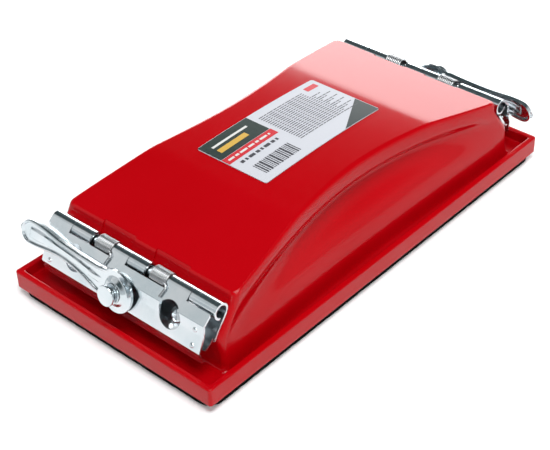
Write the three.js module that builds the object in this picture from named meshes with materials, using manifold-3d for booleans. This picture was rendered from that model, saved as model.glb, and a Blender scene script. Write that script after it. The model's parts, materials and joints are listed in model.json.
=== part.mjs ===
// Hand sanding block: a moulded tray with a hollow waisted handle, a foam pad under it
// and a sprung paper clamp with a cam lever at each end.
// Millimetres, +Z up, X along the length, origin under the middle of the pad.
import * as THREE from 'three';
import { mergeVertices } from 'three/addons/utils/BufferGeometryUtils.js';
import Module from 'manifold-3d';

const wasm = await Module();
wasm.setup();

// ---- driving dimensions ----
const blockLength = 210;
const blockWidth = 105;
const touchGap = 0.3;
const padThickness = 2.8;
const padCorner = 6;
const padInset = 2;
const padEdge = { inset: 0.4, height: 0.8 };
const trayBottom = padThickness + touchGap;
const floorThickness = 3.1;
const trayFloor = trayBottom + floorThickness;
const lipHeight = 4.8;
const lipTop = trayFloor + lipHeight;
const lipThickness = 2.6;
const trayCorner = 1.4;
const edgeBreak = 0.6;
const lipInnerCorner = 1.3;
const lipRoot = 0.8;
const lipDraft = 0.1;

const crestHeight = 44.2;
const crownRadius = 667;
const crownReach = 40;
const slopeStart = 45;
const nearSlope = 0.204;
const farSlope = 0.155;
const handleCorner = 2.5;
const wall = 2.8;
const plateRebate = 2;
const pocketDepth = 0.7;
const pocketReach = 88;
const pocketHalfWidth = 8.6;
const pocketMiddles = [-15.3, 12.8];

const labelX = [-33, 37.2];
const labelY = [-15.5, 21.5];
const labelThickness = 0.25;
const labelGap = 0.12;

const sheetThickness = 0.9;
const hingeX = 87.8;
const hingeZ = 31;
const rollRadius = 3.4;
const seatTilt = THREE.MathUtils.degToRad(35.6);
const jawSlope = THREE.MathUtils.degToRad(41);
const studTilt = THREE.MathUtils.degToRad(13);
const clampHalfWidth = 43.2;
const jawHalfWidth = 42;

const bendSteps = 4;
const sheetBend = 2;
const knuckleClear = 0.9;
const seatPastScrew = 3.6;
const seatLip = { length: 3.6, drop: THREE.MathUtils.degToRad(27) };
const hingeToCrease = 7.7;
const jawFace = { top: [96.2, 24.4, 4], foot: [98.9, 17.9, sheetBend], edge: [97.9, 12.8] };
const lipNarrowing = 1.2;
const dimpleRadius = 1.15;
const dimpleSunk = 0.35;
const dimpleY = 38;
const dimpleSpots = [[96, 25.4], [98.1, 19.4]];

const boreGap = 0.35;
const screwRadius = 1.7;
const screwY = 25.3;
const screwAlongSeat = 9.3;
const screwDepth = 12;
const screwClearing = 5.4;
const screwBossRadius = 4.2;
const bossRoot = 3;
const screwHead = { bottom: 3.3, shoulder: 3.1, top: 2, thickness: 1.3, dome: 0.6 };
const recess = { length: 4, width: 0.8, floor: 0.9, depth: 2, turn: 0.35 };

const pinRadius = 1.8;
const pinShort = 5;
const wireRadius = 0.4;
const coilRadius = 3.5;
const coilTurns = 8;
const coilLead = 2.8;
const coilTail = 0.6;
const wireSides = 5;
const legSteps = 12;

// Lever, stud and collar; heights are measured outward from the jaw along the stud.
const studRadius = 2.25;
const studDepth = 19;
const studBossRadius = 5;
const studBossLength = 14;
const skirtDepth = 2.1;
const leverSheet = 0.9;
const bossTop = 2.6;
const collarThickness = 0.6;
const leverLift = 1.5;
const collarBase = bossTop + touchGap;
const headBase = collarBase + collarThickness + leverLift + touchGap;
const headThickness = 1;
const headBreak = 0.3;
const headRadius = 4.1;
const eyeRadius = 8.3;
const eyeHeight = 1.1;
const domeRadius = 6.2;
const armStart = 5;
const leaveEye = 5.6;
const waistAt = 28;
const leverReach = 52;
const paddleRadius = 5.3;
const armHalfWidth = 3.4;
const armBow = 2;
const bead = { from: 0.4, to: 1.6, rise: 0.45 };
const ribHalfWidth = 1.3;
const nearArmRise = THREE.MathUtils.degToRad(5);
const farArmRise = THREE.MathUtils.degToRad(1);

// Hinge knuckles across the clamp: J on the jaw, B on the back plate, S a spring between them.
const knuckles = [
  ['J', -43.2, -31.8],
  ['B', -31.8, -21.2],
  ['S', -21.2, -10],
  ['J', -10, -1.3],
  ['B', -1.3, 7.8],
  ['S', 7.8, 18.8],
  ['J', 18.8, 30.4],
  ['B', 30.4, 43.2],
];

// ---- materials ----
function material(color, roughness, metalness) {
  return new THREE.MeshStandardMaterial({ color, roughness, metalness });
}

const redPlastic = material(0xb8060f, 0.25, 0);
const darkFoam = material(0x23231f, 0.95, 0);
const zincSteel = material(0xc3cbd0, 0.3, 1);
const springSteel = material(0xb4b8ba, 0.35, 1);
const printedPaper = material(0xdcdde2, 0.5, 0);

// ---- solids ----
function realTriangles(index) {
  const kept = [];
  for (let i = 0; i < index.length; i += 3) {
    const [a, b, c] = [index[i], index[i + 1], index[i + 2]];
    if (a !== b && b !== c && c !== a) {
      kept.push(a, b, c);
    }
  }
  return new Uint32Array(kept);
}

function solidOf(geometry) {
  const bare = geometry.clone();
  bare.deleteAttribute('normal');
  bare.deleteAttribute('uv');
  const welded = mergeVertices(bare, 1e-4);
  return new wasm.Manifold(new wasm.Mesh({
    numProp: 3,
    vertProperties: new Float32Array(welded.attributes.position.array),
    triVerts: realTriangles(welded.index.array),
  }));
}

function geometryOf(solid) {
  const skin = solid.getMesh();
  const geometry = new THREE.BufferGeometry();
  const points = new Float32Array(skin.numVert * 3);
  for (let i = 0; i < skin.numVert; i += 1) {
    for (let k = 0; k < 3; k += 1) points[3 * i + k] = skin.vertProperties[skin.numProp * i + k];
  }
  geometry.setAttribute('position', new THREE.BufferAttribute(points, 3));
  geometry.setIndex(new THREE.BufferAttribute(new Uint32Array(skin.triVerts), 1));
  geometry.computeVertexNormals();
  return geometry;
}

function meshOf(name, solid, look) {
  const mesh = new THREE.Mesh(geometryOf(solid), look);
  mesh.name = name;
  return mesh;
}

// A box given by its two far corners.
function boxBetween(low, high) {
  const size = high.map((value, k) => value - low[k]);
  const middle = high.map((value, k) => (value + low[k]) / 2);
  const geometry = new THREE.BoxGeometry(...size);
  geometry.translate(...middle);
  return solidOf(geometry);
}

// A round bar, or a cone, from a point along a direction.
function barAlong(start, direction, length, radius, segments = 24, endRadius = radius) {
  const geometry = new THREE.CylinderGeometry(endRadius, radius, length, segments);
  geometry.translate(0, length / 2, 0);
  const up = new THREE.Vector3(0, 1, 0);
  const turn = new THREE.Quaternion().setFromUnitVectors(up, direction.clone().normalize());
  geometry.applyQuaternion(turn);
  geometry.translate(start.x, start.y, start.z);
  return solidOf(geometry);
}

// A flat outline of [x, z] points pushed along Y.
function prismAlongY(outline, fromY, toY) {
  const shape = new THREE.Shape(outline.map(([x, z]) => new THREE.Vector2(x, z)));
  const geometry = new THREE.ExtrudeGeometry(shape, { depth: toY - fromY, bevelEnabled: false });
  geometry.rotateX(Math.PI / 2);
  geometry.translate(0, toY, 0);
  return solidOf(geometry);
}

function joined(solids) {
  return solids.reduce((whole, piece) => whole.add(piece));
}

// A closed skin through rings of equal point count, listed upward and counter-clockwise from above.
// The first ring is closed flat; the last one is closed flat unless it has already shrunk to a line.
function skinThrough(rings, closeLast = true) {
  const count = rings[0].length;
  const points = rings.flat();
  const index = [];
  for (let r = 0; r + 1 < rings.length; r += 1) {
    for (let j = 0; j < count; j += 1) {
      const next = (j + 1) % count;
      const [a, b] = [r * count + j, r * count + next];
      const [d, c] = [a + count, b + count];
      index.push(a, b, c, a, c, d);
    }
  }
  const cap = (ring, flip) => {
    const centre = ring.reduce((sum, p) => sum.add(p), new THREE.Vector3()).divideScalar(count);
    const first = points.indexOf(ring[0]);
    points.push(centre);
    for (let j = 0; j < count; j += 1) {
      const [a, b] = [first + j, first + ((j + 1) % count)];
      index.push(points.length - 1, flip ? b : a, flip ? a : b);
    }
  };
  cap(rings[0], true);
  if (closeLast) cap(rings[rings.length - 1], false);
  const geometry = new THREE.BufferGeometry().setFromPoints(points);
  geometry.setIndex(index);
  return solidOf(geometry);
}

function roundedRing(halfLength, halfWidth, radius, z, cornerSteps = 4) {
  const ring = [];
  const corners = [[-1, -1, Math.PI], [1, -1, 1.5 * Math.PI], [1, 1, 0], [-1, 1, 0.5 * Math.PI]];
  for (const [sx, sy, start] of corners) {
    for (let i = 0; i <= cornerSteps; i += 1) {
      const angle = start + (i / cornerSteps) * (Math.PI / 2);
      ring.push(new THREE.Vector3(
        sx * (halfLength - radius) + radius * Math.cos(angle),
        sy * (halfWidth - radius) + radius * Math.sin(angle),
        z,
      ));
    }
  }
  return ring;
}

// ---- handle shape ----
// Height of the handle's top: a long crown, a tight crest and a straight slope to each end.
function topHeight(x) {
  const far = Math.abs(x);
  const endSlope = x > 0 ? farSlope : nearSlope;
  if (far <= crownReach) return crestHeight - (far * far) / (2 * crownRadius);
  const crestZ = crestHeight - (crownReach * crownReach) / (2 * crownRadius);
  const startSlope = crownReach / crownRadius;
  const bend = slopeStart - crownReach;
  const run = Math.min(far - crownReach, bend);
  const bent = crestZ - startSlope * run - ((endSlope - startSlope) / (2 * bend)) * run * run;
  return bent - endSlope * Math.max(far - slopeStart, 0);
}

// Share of the way from the middle value to the end value, t being 0 in the middle and 1 at the end.
const waistShare = (t) => t * t * (2 - t);
const between = (middle, end, share) => middle + (end - middle) * share;

// One level round the handle: half-length u, half-width w as [middle, end] and height z as
// [middle, corner, end]; a level with below hangs that far under the top instead.
// The first level is sunk into the tray's floor, so that the handle and the tray join.
const sunk = trayFloor - 1;
const handleLevels = [
  { u: 93.2, w: [47.2, 49.0], z: [sunk, sunk, sunk] },
  { u: 93.2, w: [47.2, 49.0], z: [trayFloor, trayFloor, trayFloor] },
  { u: 91.6, w: [45.6, 47.4], z: [6.9, 6.9, 6.9] },
  { u: 90.9, w: [44.8, 46.6], z: [8.6, 8.6, 8.6] },
  { u: 90.8, w: [43.6, 46.2], z: [15, 10.6, 11] },
  { u: 90.75, w: [40.5, 45.9], z: [22.5, 12.4, 13.5] },
  { u: 90.7, w: [34.6, 45.2], z: [29, 19, 20.6] },
  { u: 87.0, w: [31.8, 44.7], z: [33.5, 25, 25.8] },
  { u: 83.55, w: [34.6, 44.5], z: [36.8, 29.6, 30.6] },
  { u: 82.4, w: [34.9, 44.4], z: [39.8, 32.2, 32.5] },
  { u: 82.0, w: [34.4, 44.1], below: 1.2 },
  { u: 81.6, w: [33.6, 43.8], below: 0.4 },
  { u: 80.9, w: [32.5, 43.2], below: 0 },
];
const sideSteps = 22;
const endSteps = 4;
const cornerSteps = 4;

// Quarter of the outline in plan, from the middle of the -X end to the middle of the -Y side.
function quarterOutline(level) {
  const { u } = level;
  const radius = handleCorner;
  const endWidth = level.w[1];
  const points = [];
  for (let i = 0; i < endSteps; i += 1) {
    points.push([-u, (-i / endSteps) * (endWidth - radius)]);
  }
  for (let i = 0; i <= cornerSteps; i += 1) {
    const angle = Math.PI + (i / cornerSteps) * (Math.PI / 2);
    const x = -(u - radius) + radius * Math.cos(angle);
    points.push([x, -(endWidth - radius) + radius * Math.sin(angle)]);
  }
  const reach = u - radius;
  for (let i = 1; i <= sideSteps / 2; i += 1) {
    const x = -reach * (1 - i / (sideSteps / 2));
    const share = waistShare(Math.abs(x) / reach);
    points.push([x, -between(level.w[0], level.w[1], share)]);
  }
  return points;
}

function levelHeight(level, x) {
  if (level.below !== undefined) return topHeight(x) - level.below;
  const far = Math.abs(x);
  const reach = level.u - handleCorner;
  const [middle, corner, end] = level.z;
  if (far <= reach) return between(middle, corner, (far / reach) ** 3);
  return between(corner, end, (far - reach) / handleCorner);
}

function handleRing(level) {
  const quarter = quarterOutline(level);
  const back = quarter.slice(0, -1).reverse().map(([x, y]) => [-x, y]);
  const half = [...quarter, ...back];
  const other = half.slice(1, -1).reverse().map(([x, y]) => [x, -y]);
  return [...half, ...other].map(([x, y]) => new THREE.Vector3(x, y, levelHeight(level, x)));
}

// The last ring pressed onto the centre line, so that it closes the top.
function spineOf(ring, reach) {
  return ring.map(({ x }) => {
    const held = THREE.MathUtils.clamp(x, -reach, reach);
    return new THREE.Vector3(held, 0, topHeight(held));
  });
}

function handleSolid() {
  const rings = handleLevels.map((level) => handleRing(level));
  const top = handleLevels[handleLevels.length - 1];
  rings.push(spineOf(rings[rings.length - 1], top.u - 3));
  return skinThrough(rings, false);
}

// ---- hollow of the handle ----
const cavityLevels = [
  { u: 87.5, w: [41.5, 43], z: [trayBottom - 1, trayBottom - 1, trayBottom - 1] },
  { u: 87, w: [38, 42], z: [18, 12, 17.5] },
  { u: 81, w: [29.4, 40.8], z: [29.5, 24, 27] },
  { u: 78.3, w: [29.3, 39.5], below: wall },
];

function cavitySolid() {
  const rings = cavityLevels.map((level) => handleRing(level));
  const top = cavityLevels[cavityLevels.length - 1];
  const spine = spineOf(rings[rings.length - 1], top.u - 3);
  spine.forEach((point) => { point.z -= wall; });
  return skinThrough([...rings, spine], false);
}

// Outline of the closing plate under the hollow, grown outward by the given amount.
function plateSolid(grow, fromZ, toZ) {
  const base = cavityLevels[0];
  const grown = { u: base.u + grow, w: base.w.map((value) => value + grow) };
  return skinThrough([
    handleRing({ ...grown, z: [fromZ, fromZ, fromZ] }),
    handleRing({ ...grown, z: [toZ, toZ, toZ] }),
  ]);
}

// ---- tray ----
function traySolid() {
  const [halfL, halfW] = [blockLength / 2, blockWidth / 2];
  const ring = (inset, z, radius) => roundedRing(halfL - inset, halfW - inset, radius, z);
  return skinThrough([
    ring(edgeBreak, trayBottom, trayCorner - edgeBreak),
    ring(0, trayBottom + edgeBreak, trayCorner),
    ring(0, lipTop - edgeBreak, trayCorner),
    ring(edgeBreak, lipTop, trayCorner - edgeBreak),
    ring(lipThickness - edgeBreak, lipTop, lipInnerCorner),
    ring(lipThickness, lipTop - edgeBreak, lipInnerCorner),
    ring(lipThickness + lipDraft, trayFloor + lipRoot, lipInnerCorner),
    ring(lipThickness + lipDraft + lipRoot, trayFloor, lipInnerCorner),
  ]);
}

// ---- clamp geometry, for the clamp at the +X end ----
const hinge = new THREE.Vector3(hingeX, 0, hingeZ);
const alongY = new THREE.Vector3(0, 1, 0);
const seatNormal = new THREE.Vector3(Math.cos(seatTilt), 0, Math.sin(seatTilt));
const seatDown = new THREE.Vector3(Math.sin(seatTilt), 0, -Math.cos(seatTilt));
const slopeNormal = new THREE.Vector3(Math.sin(jawSlope), 0, Math.cos(jawSlope));
const slopeDown = new THREE.Vector3(Math.cos(jawSlope), 0, -Math.sin(jawSlope));
const studAxis = new THREE.Vector3(Math.cos(studTilt), 0, Math.sin(studTilt));

// Where the lever's foot stands on the jaw, on the stud's axis.
const leverSeat = new THREE.Vector3(97.85, 0, 23.97);

const offsetFrom = (point, ...moves) => moves.reduce(
  (sum, [direction, amount]) => sum.addScaledVector(direction, amount),
  point.clone(),
);
const screwSeat = offsetFrom(
  hinge,
  [seatNormal, sheetThickness - rollRadius],
  [seatDown, screwAlongSeat],
);

// Rounds the corners of an open path of [x, z, bend radius] points.
function bentPath(corners) {
  const path = [corners[0].slice(0, 2)];
  for (let i = 1; i + 1 < corners.length; i += 1) {
    const corner = new THREE.Vector2(corners[i][0], corners[i][1]);
    const before = new THREE.Vector2(...corners[i - 1].slice(0, 2)).sub(corner).normalize();
    const after = new THREE.Vector2(...corners[i + 1].slice(0, 2)).sub(corner).normalize();
    const half = Math.acos(before.dot(after)) / 2;
    const reach = corners[i][2] / Math.tan(half);
    const start = corner.clone().addScaledVector(before, reach);
    const end = corner.clone().addScaledVector(after, reach);
    const bend = new THREE.QuadraticBezierCurve(start, corner, end);
    for (const point of bend.getPoints(bendSteps)) path.push([point.x, point.y]);
  }
  path.push(corners[corners.length - 1].slice(0, 2));
  return path;
}

// Sheet metal section: the path and a copy of it moved sideways, side 1 to the left, -1 to the right.
function sheetSection(path, side) {
  const moved = path.map(([x, z], i) => {
    const [ax, az] = path[Math.max(i - 1, 0)];
    const [bx, bz] = path[Math.min(i + 1, path.length - 1)];
    const run = Math.hypot(bx - ax, bz - az);
    const shift = (side * sheetThickness) / run;
    return [x - (bz - az) * shift, z + (bx - ax) * shift];
  });
  return [...path, ...moved.reverse()];
}

function rollPath(fromAngle, toAngle, steps = 16) {
  const path = [];
  for (let i = 0; i <= steps; i += 1) {
    const angle = THREE.MathUtils.degToRad(between(fromAngle, toAngle, i / steps));
    path.push([hingeX + rollRadius * Math.cos(angle), hingeZ + rollRadius * Math.sin(angle)]);
  }
  return path;
}

// Clears the knuckles that belong to the other leaf, and the springs.
function knuckleGaps(ownKind) {
  const clearRadius = rollRadius + knuckleClear;
  return joined(knuckles.filter(([kind]) => kind !== ownKind).map(([, fromY, toY]) => {
    const start = new THREE.Vector3(hingeX, fromY - touchGap / 2, hingeZ);
    return barAlong(start, alongY, toY - fromY + touchGap, clearRadius);
  }));
}

function screwCut(radius, from, length) {
  return joined([-screwY, screwY].map((y) => {
    const start = offsetFrom(screwSeat, [seatNormal, from], [alongY, y]);
    return barAlong(start, seatNormal, length, radius, 20);
  }));
}

function studCut(radius, from, length) {
  return barAlong(offsetFrom(leverSeat, [studAxis, from]), studAxis, length, radius, 20);
}

function backPlate() {
  const tiltDegrees = THREE.MathUtils.radToDeg(seatTilt);
  const roll = rollPath(-75, 180 + tiltDegrees);
  const leave = offsetFrom(hinge, [seatNormal, -rollRadius]);
  const bend = offsetFrom(leave, [seatDown, screwAlongSeat + seatPastScrew]);
  const { length, drop } = seatLip;
  const lipEnd = [bend.x + length * Math.cos(drop), bend.z - length * Math.sin(drop)];
  const sheet = bentPath([[leave.x, leave.z], [bend.x, bend.z, sheetBend], lipEnd]);
  const section = sheetSection([...roll.slice(0, -1), ...sheet], 1);
  const whole = prismAlongY(section, -clampHalfWidth, clampHalfWidth);
  const tongue = boxBetween(
    [bend.x - 0.6, clampHalfWidth - lipNarrowing, bend.z - 5],
    [bend.x + 8, clampHalfWidth + 1, bend.z + 3],
  );
  return whole
    .subtract(knuckleGaps('B'))
    .subtract(tongue)
    .subtract(tongue.mirror([0, 1, 0]))
    .subtract(screwCut(screwRadius + boreGap, -6, 8))
    .subtract(studCut(studRadius + boreGap, -14, 12));
}

function jawPlate() {
  const roll = rollPath(339, 90 - THREE.MathUtils.radToDeg(jawSlope));
  const leave = offsetFrom(hinge, [slopeNormal, rollRadius]);
  const crease = offsetFrom(leave, [slopeDown, hingeToCrease]);
  const sheet = bentPath([
    [leave.x, leave.z],
    [crease.x, crease.z, sheetBend],
    jawFace.top,
    jawFace.foot,
    jawFace.edge,
  ]);
  const section = sheetSection([...roll.slice(0, -1), ...sheet], -1);
  const whole = prismAlongY(section, -clampHalfWidth, jawHalfWidth);
  const trim = boxBetween(
    [hingeX + rollRadius + knuckleClear, -clampHalfWidth - 1, hingeZ - 25],
    [hingeX + 15, -jawHalfWidth, hingeZ + 4],
  );
  return whole
    .subtract(knuckleGaps('J'))
    .subtract(trim)
    .subtract(screwCut(screwClearing, 2, screwDepth))
    .subtract(studCut(studRadius + 1.2, -6, 8))
    .add(jawDimples());
}

// Small raised dimples pressed outward at both ends of the jaw, one above the other.
function jawDimples() {
  return joined([-dimpleY, dimpleY].flatMap((y) => dimpleSpots.map(([x, z]) => {
    const bump = new THREE.SphereGeometry(dimpleRadius, 8, 6);
    bump.translate(x - dimpleSunk, y, z);
    return solidOf(bump);
  })));
}

function hingePin() {
  const halfLength = clampHalfWidth - pinShort;
  const start = new THREE.Vector3(hingeX, -halfLength, hingeZ);
  return barAlong(start, alongY, 2 * halfLength, pinRadius, 16);
}

// A close-wound torsion spring round the pin: one leg lies on the jaw beside the gap, the other
// inside the clamp.
function torsionSpring(fromY, toY) {
  const perTurn = 10;
  const startAngle = Math.PI + seatTilt;
  const endAngle = Math.PI / 2 - jawSlope;
  const sweep = coilTurns * 2 * Math.PI + startAngle - endAngle;
  const steps = Math.round((sweep / (2 * Math.PI)) * perTurn);
  const coilStart = fromY + coilLead;
  const coilEnd = toY - coilTail;
  const points = [];
  for (const back of [7.5, 5, 2.5]) {
    points.push(offsetFrom(hinge, [seatNormal, -1.4], [seatDown, back], [alongY, coilStart]));
  }
  for (let i = 0; i <= steps; i += 1) {
    const angle = startAngle - (i / steps) * sweep;
    const y = between(coilStart, coilEnd, i / steps);
    points.push(new THREE.Vector3(
      hingeX + coilRadius * Math.cos(angle),
      y,
      hingeZ + coilRadius * Math.sin(angle),
    ));
  }
  const legHeight = rollRadius + touchGap + wireRadius;
  // Each point of the upper leg: distance down the jaw, height over the hinge, sideways from the coil.
  const leg = [[0.8, legHeight, 0.1], [1.4, legHeight, 1], [2.4, legHeight, 1.9], [6.2, legHeight, 1.3]];
  for (const [along, height, side] of leg) {
    points.push(offsetFrom(
      hinge,
      [slopeNormal, height],
      [slopeDown, along],
      [alongY, coilEnd + side],
    ));
  }
  const path = new THREE.CatmullRomCurve3(points, false, 'centripetal');
  const corner = (i) => new THREE.Vector2(wireRadius, 0)
    .rotateAround(new THREE.Vector2(), (2 * Math.PI * i) / wireSides);
  const ring = new THREE.Shape(Array.from({ length: wireSides }, (_, i) => corner(i)));
  const geometry = new THREE.ExtrudeGeometry(ring, {
    extrudePath: path,
    steps: steps + legSteps,
    bevelEnabled: false,
  });
  return solidOf(geometry);
}

// Pan-head cross-recess screw driven into the handle through the back plate.
function clampScrew(y) {
  const seat = offsetFrom(screwSeat, [seatNormal, touchGap], [alongY, y]);
  const { bottom, shoulder, top, thickness, dome } = screwHead;
  const head = barAlong(seat, seatNormal, thickness, bottom, 20, shoulder);
  const domeSeat = offsetFrom(seat, [seatNormal, thickness]);
  const crown = barAlong(domeSeat, seatNormal, dome, shoulder, 20, top);
  const tip = offsetFrom(seat, [seatNormal, -screwDepth]);
  const shank = barAlong(tip, seatNormal, screwDepth, screwRadius, 12);
  const slotStart = offsetFrom(seat, [seatNormal, recess.floor]);
  const slots = [0, Math.PI / 2].map((turn) => {
    const bar = new THREE.BoxGeometry(recess.length, recess.width, recess.depth);
    bar.rotateZ(turn + recess.turn);
    bar.translate(0, 0, recess.depth / 2);
    bar.applyQuaternion(new THREE.Quaternion().setFromUnitVectors(
      new THREE.Vector3(0, 0, 1),
      seatNormal,
    ));
    bar.translate(slotStart.x, slotStart.y, slotStart.z);
    return solidOf(bar);
  });
  return joined([head, crown, shank]).subtract(joined(slots));
}

// ---- lever, stud and collar ----
function studSolid() {
  const at = (height) => offsetFrom(leverSeat, [studAxis, height]);
  const body = headThickness - headBreak;
  const edge = headRadius - headBreak;
  const intoHead = 0.2;
  const shank = barAlong(at(-studDepth), studAxis, studDepth + headBase + intoHead, studRadius, 20);
  const head = barAlong(at(headBase), studAxis, body, headRadius, 28);
  const rim = barAlong(at(headBase + body), studAxis, headBreak, headRadius, 28, edge);
  return joined([shank, head, rim]);
}

function collarSolid() {
  const start = offsetFrom(leverSeat, [studAxis, collarBase]);
  return barAlong(start, studAxis, collarThickness, headRadius, 28)
    .subtract(studCut(studRadius + boreGap, -1, 12));
}

// Half-width of the lever at a distance along it from the stud, the end being a round paddle.
function leverHalfWidth(along) {
  const paddleCentre = leverReach - paddleRadius;
  if (along >= paddleCentre) {
    return Math.sqrt(Math.max(paddleRadius ** 2 - (along - paddleCentre) ** 2, 0));
  }
  if (along >= waistAt) {
    const share = (1 - Math.cos((Math.PI * (along - waistAt)) / (paddleCentre - waistAt))) / 2;
    return between(armHalfWidth, paddleRadius, share);
  }
  const eyeHalf = Math.sqrt(Math.max(eyeRadius ** 2 - along ** 2, 0));
  if (along <= leaveEye) return eyeHalf;
  const share = ((waistAt - along) / (waistAt - leaveEye)) ** 2;
  return between(armHalfWidth, Math.sqrt(eyeRadius ** 2 - leaveEye ** 2), share);
}

// Stations along the lever, closer together where the outline turns.
const leverStations = [
  ...[0, 0.04, 0.15, 0.32, 0.55, 0.8, 1.1, 1.4].map((s) => -eyeRadius + s * eyeRadius),
  8, 12, 16, 20, 25, 30, 35, 40,
  ...[0, 0.25, 0.5, 0.72, 0.88, 0.97, 1].map((s) => leverReach - paddleRadius * (1 - s)),
];

// Sideways offset of the lever's middle line, which is bowed upward, away from its side direction.
function leverMiddle(along) {
  return -armBow * Math.sin((Math.PI * Math.max(along, 0)) / leverReach);
}

// Both edges of a strip that follows the middle line, as one outline.
function leverStrip(stations, halfWidth) {
  const edge = (sign) => stations.map((along) => [
    along,
    leverMiddle(along) + sign * halfWidth(along),
  ]);
  return [...edge(-1), ...edge(1).reverse()];
}

function leverOutline() {
  const both = leverStrip(leverStations, leverHalfWidth);
  const tip = leverStations.length;
  return [...both.slice(0, tip), ...both.slice(tip + 1, -1)];
}

// The outline moved inward by a fixed distance along its own normals.
function shrunk(outline, inset) {
  return outline.map(([x, y], i) => {
    const [ax, ay] = outline[(i + outline.length - 1) % outline.length];
    const [bx, by] = outline[(i + 1) % outline.length];
    const run = Math.hypot(bx - ax, by - ay);
    return [x - ((by - ay) * inset) / run, y + ((bx - ax) * inset) / run];
  });
}

function slab(outline, fromHeight, toHeight) {
  const shape = new THREE.Shape(outline.map(([x, y]) => new THREE.Vector2(x, y)));
  const depth = toHeight - fromHeight;
  const geometry = new THREE.ExtrudeGeometry(shape, { depth, bevelEnabled: false });
  geometry.translate(0, 0, fromHeight);
  return solidOf(geometry);
}

// Turns the lever from its own frame (X along the arm, Z outward) onto the stud.
function leverPlacement(armRise) {
  const upInPlane = new THREE.Vector3(-Math.sin(studTilt), 0, Math.cos(studTilt));
  const arm = new THREE.Vector3(0, -Math.cos(armRise), 0)
    .addScaledVector(upInPlane, Math.sin(armRise));
  const side = new THREE.Vector3().crossVectors(studAxis, arm);
  return new THREE.Matrix4().makeBasis(arm, side, studAxis).setPosition(leverSeat);
}

// A low flanged eye that domes up to a boss, and a ribbed channel for the arm.
function leverSolid(armRise) {
  const outline = leverOutline();
  const sheetBase = skirtDepth - leverSheet;
  const beadTop = skirtDepth + bead.rise;
  const sunkBy = 0.2;
  const out = new THREE.Vector3(0, 0, 1);
  const clear = 2 * eyeRadius;
  const armRegion = boxBetween([armStart, -clear, -1], [leverReach + 1, clear, bossTop + 1]);
  const eyeRegion = boxBetween([-clear, -clear, -1], [armStart + 1, clear, bossTop + 1]);
  const skirt = slab(outline, 0, skirtDepth)
    .subtract(slab(shrunk(outline, leverSheet), -1, sheetBase));
  const rim = slab(shrunk(outline, bead.from), skirtDepth - sunkBy, beadTop)
    .subtract(slab(shrunk(outline, bead.to), skirtDepth - 1, beadTop + 1));
  const ribStations = [armStart, 12, 20, 28, 36, 44, leverReach - 5];
  const rib = slab(leverStrip(ribStations, () => ribHalfWidth), sheetBase, beadTop);
  const arm = joined([skirt, rim, rib]).intersect(armRegion);
  const flange = slab(outline, 0, eyeHeight).intersect(eyeRegion);
  const bossBase = new THREE.Vector3(0, 0, eyeHeight - sunkBy);
  const boss = barAlong(bossBase, out, bossTop - bossBase.z, domeRadius, 32, headRadius);
  const boreStart = new THREE.Vector3(0, 0, -1);
  const bore = barAlong(boreStart, out, bossTop + 2, studRadius + boreGap, 20);
  return joined([arm, flange, boss])
    .subtract(bore)
    .transform(leverPlacement(armRise).elements);
}

// ---- body ----
// The cut or boss made for the +X end, and its half turn for the -X end.
function forBothEnds(make) {
  return make(1).add(make(-1).rotate([0, 0, 180]));
}

// Shallow pockets in the end wall behind the springs, open at its top edge; end is 1 at +X.
function springPockets(end) {
  const wallLine = handleLevels.filter(({ u }) => u < pocketReach).map((level) => [
    level.u - pocketDepth,
    levelHeight(level, end * level.u),
  ]);
  const [foot, head] = [wallLine[0], wallLine[wallLine.length - 1]];
  const clear = head[1] + 2;
  const outline = [...wallLine, [head[0], clear], [hingeX, clear], [hingeX, foot[1]]];
  return joined(pocketMiddles.map((y) => (
    prismAlongY(outline, y - pocketHalfWidth, y + pocketHalfWidth)
  )));
}

// Bosses inside the handle that take the clamp's screws and stud.
function clampBosses() {
  const screwBosses = joined([-screwY, screwY].map((y) => {
    const start = offsetFrom(screwSeat, [seatNormal, -screwDepth - bossRoot], [alongY, y]);
    return barAlong(start, seatNormal, screwDepth, screwBossRadius, 16);
  }));
  const studStart = offsetFrom(leverSeat, [studAxis, -studDepth - 2]);
  return screwBosses.add(barAlong(studStart, studAxis, studBossLength, studBossRadius, 16));
}

function clampBores() {
  const studHole = studCut(studRadius + boreGap, -studDepth - boreGap, studDepth + 5);
  const screwHoles = screwCut(screwRadius + boreGap, -screwDepth - boreGap, screwDepth + 2);
  return screwHoles.add(studHole);
}

function bodyShell() {
  const outside = handleSolid();
  const bosses = forBothEnds(clampBosses).intersect(outside);
  return traySolid()
    .add(outside)
    .subtract(cavitySolid())
    .add(bosses)
    .subtract(plateSolid(plateRebate, trayBottom - 1, trayBottom + floorThickness + touchGap))
    .subtract(forBothEnds(springPockets))
    .subtract(forBothEnds(clampBores));
}

function basePlate() {
  return plateSolid(plateRebate - touchGap, trayBottom, trayBottom + floorThickness);
}

function foamPad() {
  const [halfL, halfW] = [blockLength / 2 - padInset, blockWidth / 2 - padInset];
  return skinThrough([
    roundedRing(halfL - padEdge.inset, halfW - padEdge.inset, padCorner, 0),
    roundedRing(halfL, halfW, padCorner, padEdge.height),
    roundedRing(halfL, halfW, padCorner, padThickness),
  ]);
}

// Self-adhesive label following the crown of the handle.
function labelSolid() {
  const steps = 10;
  const lower = [];
  const upper = [];
  for (let i = 0; i <= steps; i += 1) {
    const x = between(...labelX, i / steps);
    const z = topHeight(x) + labelGap;
    lower.push([x, z]);
    upper.unshift([x, z + labelThickness]);
  }
  return prismAlongY([...lower, ...upper], ...labelY);
}

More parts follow.
